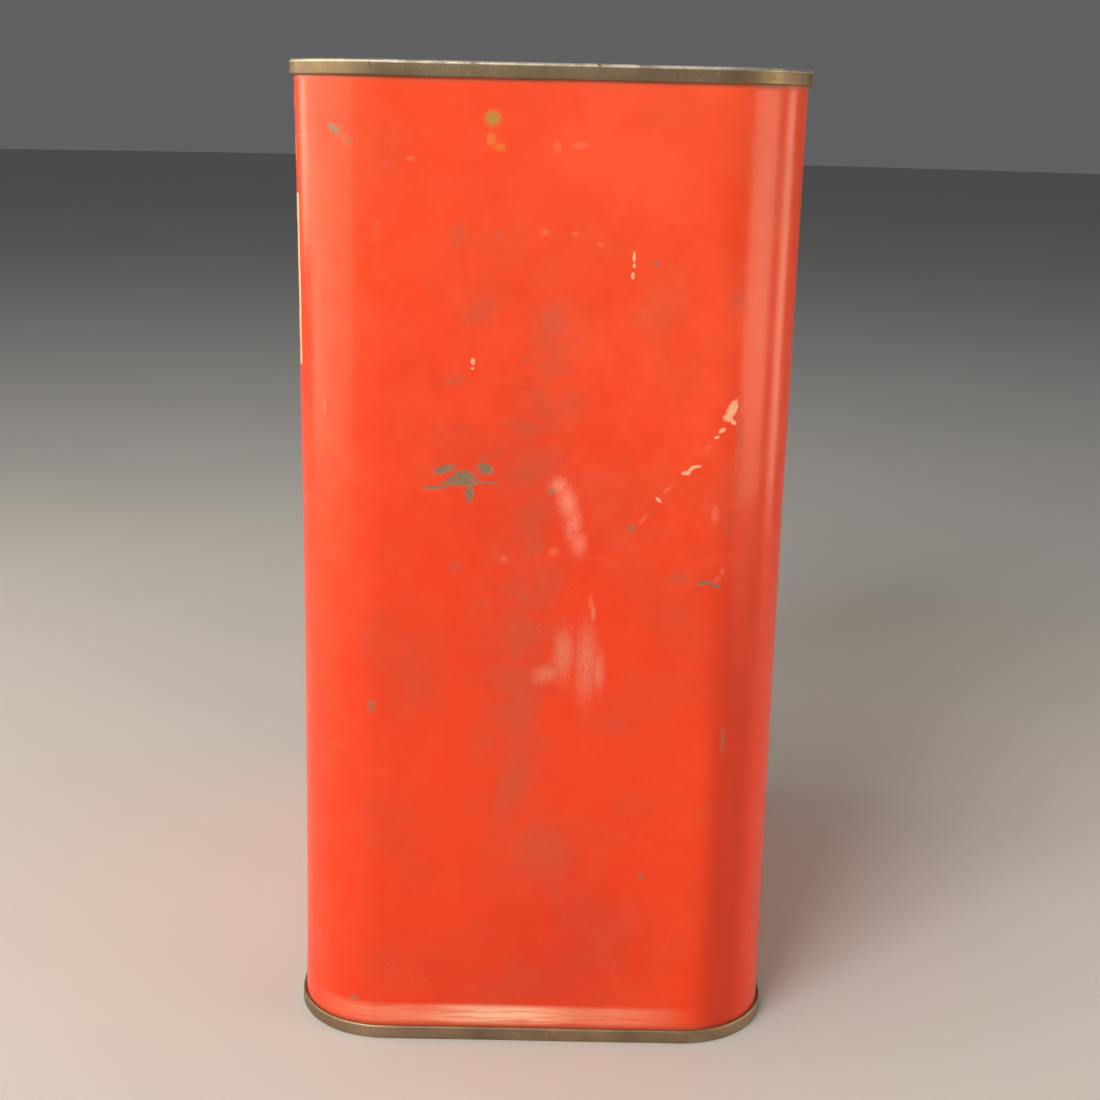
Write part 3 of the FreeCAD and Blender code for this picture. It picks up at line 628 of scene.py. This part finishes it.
def tarnished(name, light, dark, rust_share=0.5, gloss=0.38, worn_and_lit_above=None):
    """Bare tinplate gone brown, with rust specks, and if asked a paler line along the rim's top that is
    partly rubbed wear and partly painted highlight.
    """
    p = Paint(name)
    patches = p.noise(0.11, detail=5.0, rough=0.62, warp=0.5)
    grain = p.noise(1.1, detail=4.0, rough=0.65)
    fine = p.noise(5.0, detail=2.0)
    broad = p.noise(0.028, detail=3.0, rough=0.55)
    share = p.add(p.times(p.step(broad, 0.36, 0.64), 0.6), p.times(p.step(patches, 0.30, 0.70), 0.4))
    tone = p.mix(share, light, dark)
    tone = p.mix(p.times(p.step(grain, 0.35, 0.75), 0.35), tone, dark)
    if worn_and_lit_above is not None:
        # painted highlight with wear: a paler line along the top of the rim, which faces up
        worn = p.times(p.step(p.z, worn_and_lit_above, worn_and_lit_above + 0.5), p.step(patches, 0.38, 0.66, 1.0, 0.35))
        tone = p.mix(p.times(worn, 0.9), tone, RIM_WORN_AND_LIT)
    spots = p.noise(0.45, detail=5.0, rough=0.7, warp=0.3)
    less = 0.16 * rust_share  # the more rust there is, the lower the level at which it shows
    rust = p.step(p.add(spots, p.times(patches, 0.25)), 0.83 - less, 0.90 - less)
    p.colour(p.mix(rust, tone, p.mix(p.step(grain, 0.3, 0.7), *RUST_TONES)))
    p.metal(p.step(rust, 0.0, 1.0, 0.92, 0.05))
    shine = p.add(gloss, p.times(patches, 0.16))
    shine = p.add(shine, p.times(grain, 0.10))
    p.rough(p.most(shine, p.times(rust, 0.85)))
    height = p.add(p.times(grain, 0.05), p.times(rust, 0.05))
    p.bump(p.add(height, p.times(fine, 0.012)), 1.0)
    return p.material


def solder():
    p = Paint("solder")
    p.metal(1.0)
    ripple = p.noise(0.35, detail=3.0, vector=p.stretched(p.place, (1, 1, 0.5)))
    grain = p.noise(2.2, detail=3.0)
    tone = p.mix(p.step(ripple, 0.35, 0.65), *SOLDER_TONES)
    p.colour(p.mix(p.times(p.step(grain, 0.5, 0.8), 0.5), tone, SOLDER_DIRT))
    p.rough(p.add(0.36, p.times(grain, 0.25)))
    p.bump(p.add(p.times(ripple, 0.25), p.times(grain, 0.03)), 1.0)
    return p.material


def soft_stuff(name, light, dark, rough):
    """Rubber, compound and board: matt, mottled and slightly lumpy."""
    p = Paint(name)
    blotch = p.noise(0.3, detail=4.0, warp=0.4)
    grain = p.noise(3.0, detail=3.0)
    tone = p.mix(p.step(blotch, 0.35, 0.65), light, dark)
    p.colour(p.mix(p.times(p.step(grain, 0.45, 0.8), 0.4), tone, dark))
    p.rough(p.add(rough, p.times(grain, 0.15)))
    p.bump(p.times(grain, 0.06), 1.0)
    return p.material


# ---------------------------------------------------------------- sheet-metal meshes

def bent(points, steps=7):
    """A line of (h, z) points through corners given as (h, z, bend radius)."""
    line = [np.array(points[0][:2], float)]
    for before, corner, after in zip(points, points[1:], points[2:]):
        middle = np.array(corner[:2], float)
        into = middle - np.array(before[:2], float)
        out = np.array(after[:2], float) - middle
        into, out = into / np.linalg.norm(into), out / np.linalg.norm(out)
        turn = math.acos(max(-1.0, min(1.0, float(into @ out))))
        radius = corner[2]
        reach = radius * math.tan(turn / 2)
        start = middle - into * reach
        side = np.array([-into[1], into[0]]) * math.copysign(1.0, into[0] * out[1] - into[1] * out[0])
        centre = start + side * radius
        for i in range(steps + 1):
            angle = turn * i / steps
            line.append(centre - side * radius * math.cos(angle) + into * radius * math.sin(angle))
    line.append(np.array(points[-1][:2], float))
    return np.array(line)


def two_sides(line, thickness):
    """The line moved half a sheet to each side."""
    tangent = np.gradient(line, axis=0)
    tangent /= np.linalg.norm(tangent, axis=1)[:, None]
    normal = np.stack([-tangent[:, 1], tangent[:, 0]], 1) * thickness / 2
    return line + normal, line - normal


def filled(line, longest):
    """The line with points added so that no run is over this length."""
    out = [line[0]]
    for a, b in zip(line, line[1:]):
        count = max(1, math.ceil(np.linalg.norm(b - a) / longest))
        out += [a + (b - a) * i / count for i in range(1, count + 1)]
    return np.array(out)


STATION_GAP = 2.6  # on the flats
ARC_STEPS = 30  # round one corner
LOCK_BAND = 5.0  # finer stations to each side of the lock seam
LOCK_GAP = 0.25
LOCK_START = 3.2  # how far past the seam's middle the first station lies


def stations():
    """Places once round the can, from the lock seam: (x, y), outward normal, distance round.

    They go down the -X panel towards -Y, then round by the label, the +X panel and the back.
    """
    west, east = np.array([-1.0, 0.0]), np.array([1.0, 0.0])
    south, north = np.array([0.0, -1.0]), np.array([0.0, 1.0])
    lock_fine = np.arange(-LOCK_BAND, LOCK_BAND + 0.01, LOCK_GAP)
    places, normals = [], []

    def run(start, end, normal, count):
        for i in range(count):
            places.append(np.array(start) + (np.array(end) - np.array(start)) * i / count)
            normals.append(normal)

    def corner(centre, first):
        for i in range(ARC_STEPS):
            angle = first + math.pi / 2 * i / ARC_STEPS
            normal = np.array([math.cos(angle), math.sin(angle)])
            places.append(np.array(centre) + normal * CORNER)
            normals.append(normal)

    def lock_side(ys):
        for y in ys:
            places.append(np.array([-HALF_WIDTH, y]))
            normals.append(west)

    long_steps, short_steps = round(2 * FLAT_X / STATION_GAP), round(2 * FLAT_Y / STATION_GAP)
    first_side = -lock_fine[lock_fine >= -LOCK_START]
    lock_side(first_side[first_side > -LOCK_BAND])
    run((-HALF_WIDTH, -LOCK_BAND), (-HALF_WIDTH, -FLAT_Y), west, short_steps // 2)
    corner((-FLAT_X, -FLAT_Y), math.pi)
    run((-FLAT_X, -HALF_DEPTH), (FLAT_X, -HALF_DEPTH), south, long_steps)
    corner((FLAT_X, -FLAT_Y), -math.pi / 2)
    run((HALF_WIDTH, -FLAT_Y), (HALF_WIDTH, FLAT_Y), east, short_steps)
    corner((FLAT_X, FLAT_Y), 0.0)
    run((FLAT_X, HALF_DEPTH), (-FLAT_X, HALF_DEPTH), north, long_steps)
    corner((-FLAT_X, FLAT_Y), math.pi / 2)
    run((-HALF_WIDTH, FLAT_Y), (-HALF_WIDTH, LOCK_BAND), west, short_steps // 2)
    last_side = lock_fine[::-1]
    lock_side(last_side[last_side > LOCK_START])
    places, normals = np.array(places), np.array(normals)
    chords = np.linalg.norm(np.diff(places, axis=0), axis=1)
    on_arc = np.abs(np.diff(normals, axis=0)).sum(1) > 1e-9
    distance = np.concatenate([[0.0], np.cumsum(np.where(on_arc, QUARTER / ARC_STEPS, chords))])
    on_label = normals[:, 1] < -0.999
    label_middle = np.interp(0.0, places[on_label, 0], distance[on_label])
    return places, normals, distance - label_middle


PLACES, NORMALS, AROUND = stations()


def waves(points, seed, wavelength, count=7):
    """Smooth random height from -1 to 1 at each point, the same on every run."""
    rng = np.random.default_rng(seed)
    total = np.zeros(len(points))
    for _ in range(count):
        way = rng.normal(size=3)
        way /= np.linalg.norm(way)
        scale = 2 * math.pi / (wavelength * rng.uniform(0.7, 1.6))
        total += np.sin(points @ way * scale + rng.uniform(0, 2 * math.pi))
    return total / math.sqrt(count) / 1.6


SHARP_ANGLE = math.radians(38)


def mesh_piece(name, rings, body, node, material, attribute=False):
    """A piece from rings of points, each once round the can; the last joins the first."""
    rows, columns = len(rings), len(rings[0])
    points = np.concatenate(rings) * MM
    faces = []
    for row in range(rows):
        below = (row + 1) % rows
        for column in range(columns):
            beside = (column + 1) % columns
            faces.append((row * columns + column, row * columns + beside,
                          below * columns + beside, below * columns + column))
    mesh = bpy.data.meshes.new(name)
    mesh.from_pydata(points.tolist(), [], faces)
    if attribute:
        layer = mesh.attributes.new("around", "FLOAT", "POINT")
        layer.data.foreach_set("value", np.tile(AROUND, rows).astype(np.float32))
    mesh.validate()
    mesh.update()
    mesh.shade_smooth()
    mesh.set_sharp_from_angle(angle=SHARP_ANGLE)
    mesh.materials.append(material)
    obj = bpy.data.objects.new(name, mesh)
    bpy.context.scene.collection.objects.link(obj)
    fix_outward(mesh)
    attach(obj, body)
    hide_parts(node)


def fix_outward(mesh):
    """Turns the faces over if they look inwards."""
    bm = bmesh.new()
    bm.from_mesh(mesh)
    if bm.calc_volume(signed=True) < 0:
        bmesh.ops.reverse_faces(bm, faces=bm.faces)
        bm.to_mesh(mesh)
    bm.free()


def ring_points(h, z):
    """One ring h outwards from the body's outside face."""
    return np.column_stack([PLACES + NORMALS * h, np.full(len(PLACES), z)])


WALL_RUN = 2.9  # longest run between the wall's rings
FRONT_SINK, BACK_SINK = (0.75, 0.7), (0.30, 0.9)  # all over a panel, and more at its middle
PLUS_X_SINK, MINUS_X_SINK = (0.10, 0.30), (0.12, 0.45)
BOW_PADDING = (10, 8)  # how far round the corners the sinking of a label and a narrow panel goes
SEAM_STIFF = 5.0  # wall this near to an end keeps its shape, and is free this much further on
SEAM_SOFTENING = 14.0
DENT_FALL = 1.5
# x, y, z, radius, depth
DENTS = [
    (-60.0, -71.5, 60.0, 16.0, 0.9), (70.0, -71.5, 185.0, 10.0, 0.5), (18.0, -71.5, 30.0, 13.0, 0.7),
    (40.0, 71.5, 90.0, 20.0, 1.1), (-50.0, 71.5, 210.0, 14.0, 0.8), (-108.0, -25.0, 120.0, 13.0, 0.8),
    (-108.0, 22.0, 226.0, 9.0, 0.5), (108.0, -14.0, 180.0, 9.0, 0.22), (100.0, 64.0, 150.0, 14.0, 0.25),
    (96.0, -66.0, 20.0, 7.0, 0.35), (-98.0, 66.0, 266.0, 8.0, 0.6),
]


def body_bow(points):
    """How far inwards the wall has sunk at each point of a ring."""
    height = np.clip(points[:, 2] / HEIGHT, 0, 1)
    swell = np.sin(math.pi * height) ** 0.9
    nx, ny = NORMALS[:, 0], NORMALS[:, 1]

    def side(facing, edge, centre, along, half):
        """edge all over the panel that faces this way, and centre more at its middle."""
        near = np.clip((facing - 0.35) / 0.65, 0, 1)
        near = near * near * (3 - 2 * near)
        middle = np.cos(np.clip(np.abs(along) / half, 0, 1) * math.pi / 2) ** 2
        return near * (edge + centre * middle)

    x, y = points[:, 0], points[:, 1]
    wide, narrow = FLAT_X + BOW_PADDING[0], FLAT_Y + BOW_PADDING[1]
    sunk = side(-ny, *FRONT_SINK, x, wide) + side(ny, *BACK_SINK, x, wide)
    sunk += side(nx, *PLUS_X_SINK, y, narrow) + side(-nx, *MINUS_X_SINK, y, narrow)
    sunk = sunk * swell
    for cx, cy, cz, radius, depth in DENTS:
        far = np.linalg.norm(points - np.array([cx, cy, cz]), axis=1) / radius
        sunk += depth * np.exp(-far ** 2 * DENT_FALL)
    sunk += 0.14 * (1 + waves(points, 5, 60.0)) * swell
    sunk += 0.035 * (1 + waves(points, 8, 17.0)) * swell
    from_end = np.minimum(points[:, 2], HEIGHT - points[:, 2])
    free = np.clip((from_end - SEAM_STIFF) / SEAM_SOFTENING, 0, 1)
    return sunk * free * free * (3 - 2 * free)


def make_body(material):
    wall = -SHEET / 2
    path = [
        (BODY_HOOK_LAYER, BODY_HOOK_TIP, 0),
        (BODY_HOOK_LAYER, BODY_HOOK_TOP, HOOK_BEND),
        (wall, BODY_HOOK_TOP, HOOK_BEND),
        (wall, HEIGHT - BODY_HOOK_TOP, HOOK_BEND),
        (BODY_HOOK_LAYER, HEIGHT - BODY_HOOK_TOP, HOOK_BEND),
        (BODY_HOOK_LAYER, HEIGHT - BODY_HOOK_TIP, 0),
    ]
    sides = two_sides(filled(bent(path, steps=5), WALL_RUN), SHEET)
    lock_y = PLACES[:, 1]
    on_lock_panel = NORMALS[:, 0] < -0.999
    groove = on_lock_panel * LOCK_GROOVE_DEPTH * np.exp(-((lock_y - LOCK_GROOVE) / LOCK_GROOVE_WIDTH) ** 2)
    fold = on_lock_panel * (np.abs(lock_y) < LOCK_FOLD) * 3 * LAYER
    rings = []
    for h, z in np.concatenate([sides[0], sides[1][::-1]]):
        ring = ring_points(h, z)
        if abs(h - wall) < SHEET:
            sunk = body_bow(ring)
            if LOCK_END < z < HEIGHT - LOCK_END:
                sunk = sunk + (groove if h > wall else fold)
            ring[:, :2] -= NORMALS * sunk[:, None]
        rings.append(ring)
    mesh_piece("can_body", rings, "can", "body", material, attribute=True)


SEAM_RUN = 1.2  # longest run between rings in the seam, and in the well
WELL_RUN = 1.6
BEADS = ((0.10, 0.19), (0.30, 0.39))  # of the bottom end, as shares of the way to its centre
BEAD_SHARPNESS = 300


def seam_path():
    """Middle of the end's sheet in its double seam, from the hook's tip to the panel's edge."""
    foot = HEIGHT - SEAM_HEIGHT + SHEET / 2
    groove = HEIGHT - GROOVE_DROP - SHEET / 2
    panel = HEIGHT - PANEL_DROP - SHEET / 2
    rise_end = CHUCK_WALL - GROOVE_WIDTH
    return [
        (COVER_HOOK_LAYER, foot + COVER_HOOK, 0),
        (COVER_HOOK_LAYER, foot, HOOK_BEND),
        (SEAM_WALL, foot, HOOK_BEND),
        (SEAM_WALL, HEIGHT - SHEET / 2, RIM_BEND),
        (CHUCK_WALL, HEIGHT - SHEET / 2, RIM_BEND),
        (CHUCK_WALL, groove, PANEL_BEND),
        (rise_end, groove, PANEL_BEND),
        (rise_end - 1.0, panel, PANEL_BEND),
        (-PANEL_INSET, panel, 0),
    ]


def seam_rings(side, seed):
    """Rings along one side of the seam's sheet, with wear that only goes inwards and downwards."""
    worn = []
    for h, z in side:
        ring = ring_points(h, z)
        inside = np.clip((ring[:, 2] - (HEIGHT - 9.0)) / 4.0, 0, 1)
        push = 0.07 * (1 + waves(ring, seed, 22.0)) + 0.04 * (1 + waves(ring, seed + 1, 7.0))
        drop = 0.06 * (1 + waves(ring, seed + 2, 35.0)) * inside
        ring[:, :2] -= NORMALS * (push * inside)[:, None]
        ring[:, 2] -= drop
        worn.append(ring)
    return worn


def panel_rings(line_z, shares, target, sag):
    """Rings between the panel's edge and a target loop, with a slight sag between."""
    edge = ring_points(-PANEL_INSET, line_z)
    rings = []
    for share in shares:
        ring = edge * (1 - share) + target * share
        ring[:, 2] = line_z + sag(share, ring)
        rings.append(ring)
    return rings


def well_loop(radius, z):
    """A ring round the well, each of its points in line with one of the panel's edge."""
    edge = PLACES - NORMALS * PANEL_INSET
    away = edge - np.array([WELL_X, WELL_Y])
    away /= np.linalg.norm(away, axis=1)[:, None]
    flat = np.array([WELL_X, WELL_Y]) + away * radius
    return np.column_stack([flat, np.full(len(flat), z)])


def make_top(material):
    seam = filled(bent(seam_path()), SEAM_RUN)
    panel_z = HEIGHT - PANEL_DROP - SHEET / 2
    floor_z = HEIGHT - WELL_DROP - SHEET / 2
    well = bent([
        (WELL_RIM_RADIUS, panel_z, 0), (WELL_RADIUS, panel_z, PANEL_BEND),
        (WELL_RADIUS, floor_z, PANEL_BEND), (NECK_HOLE, floor_z, 0),
    ])
    well = filled(well, WELL_RUN)
    shares = np.linspace(0, 1, 34)[1:-1]

    def sag(share, ring):
        swell = math.sin(math.pi * share)
        return 0.16 * swell * waves(ring, 21, 70.0) + 0.05 * swell * waves(ring, 22, 22.0)

    halves = []
    for seam_side, well_side in zip(two_sides(seam, SHEET), two_sides(well, SHEET)):
        z = seam_side[-1][1]
        rings = seam_rings(seam_side, 31)
        rings += panel_rings(z, shares, well_loop(WELL_RIM_RADIUS, z), sag)
        rings += [well_loop(h, well_z) for h, well_z in well_side]
        halves.append(rings)
    mesh_piece("can_top", halves[0] + halves[1][::-1], "can", "top_end", material)


def make_bottom(material):
    """The bottom end, made the top's way up and turned over at the last."""
    seam = filled(bent(seam_path()), SEAM_RUN)
    panel_z = HEIGHT - PANEL_DROP - SHEET / 2
    shares = np.concatenate([np.linspace(0, 0.5, 40)[1:], np.linspace(0.5, 1.0, 14)[1:]])
    centre = ring_points(-PANEL_INSET, panel_z)
    centre[:, :2] *= 0.01

    def rise(distance):
        return 1.0 / (1 + math.exp(-distance * BEAD_SHARPNESS))

    def sag(share, ring):
        raised = sum(rise(share - low) * rise(high - share) for low, high in BEADS)
        swell = math.sin(math.pi * min(share, 0.5))
        return raised + 0.15 * swell * waves(ring, 41, 60.0)

    halves = []
    for side in two_sides(seam, SHEET):
        halves.append(seam_rings(side, 51) + panel_rings(side[-1][1], shares, centre, sag))
    rings = halves[0] + halves[1][::-1]
    for ring in rings:
        ring[:, 2] = HEIGHT - ring[:, 2]
    mesh_piece("can_bottom", rings, "can", "bottom_end", material)


# ---------------------------------------------------------------- the can

def dress(node, material):
    """Gives a CAD node its material."""
    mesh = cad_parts[node].data
    mesh.materials.clear()
    mesh.materials.append(material)


make_camera()
make_stage()
make_lights()
bpy.context.scene.view_settings.view_transform = "Standard"
bpy.context.scene.view_settings.look = "None"

TIN_LIGHT = (0.27, 0.205, 0.13)
TIN_DARK = (0.15, 0.112, 0.071)
make_body(enamel())
make_top(tarnished("top_tinplate", TIN_LIGHT, TIN_DARK, 0.5, 0.34, worn_and_lit_above=HEIGHT - 1.1))
make_bottom(tarnished("bottom_tinplate", (0.37, 0.265, 0.17), (0.21, 0.15, 0.098), 0.55, 0.38))
dress("neck", tarnished("neck_tinplate", (0.40, 0.36, 0.29), TIN_DARK, 0.4, 0.32))
dress("cap", tarnished("cap_tinplate", (0.46, 0.41, 0.32), (0.22, 0.17, 0.11), 0.65, 0.30))
dress("bail_wire", tarnished("bail_steel", (0.24, 0.21, 0.18), (0.10, 0.08, 0.065), 0.75, 0.36))
dress("bail_grip", tarnished("grip_tinplate", (0.44, 0.39, 0.31), (0.20, 0.16, 0.11), 0.5, 0.30))
ear_tin = tarnished("ear_tinplate", (0.36, 0.31, 0.24), (0.16, 0.12, 0.08), 0.6, 0.36)
dress("right_ear", ear_tin)
dress("left_ear", ear_tin)
lead = solder()
dress("side_seam_solder", lead)
dress("ear_solder", lead)
compound = soft_stuff("seam_compound_black", (0.05, 0.045, 0.04), (0.025, 0.022, 0.02), 0.6)
dress("top_seam_compound", compound)
dress("bottom_seam_compound", compound)
dress("neck_gasket", soft_stuff("gasket_rubber", (0.20, 0.07, 0.045), (0.09, 0.04, 0.03), 0.65))
dress("cap_liner", soft_stuff("liner_board", (0.46, 0.34, 0.19), (0.26, 0.17, 0.09), 0.75))
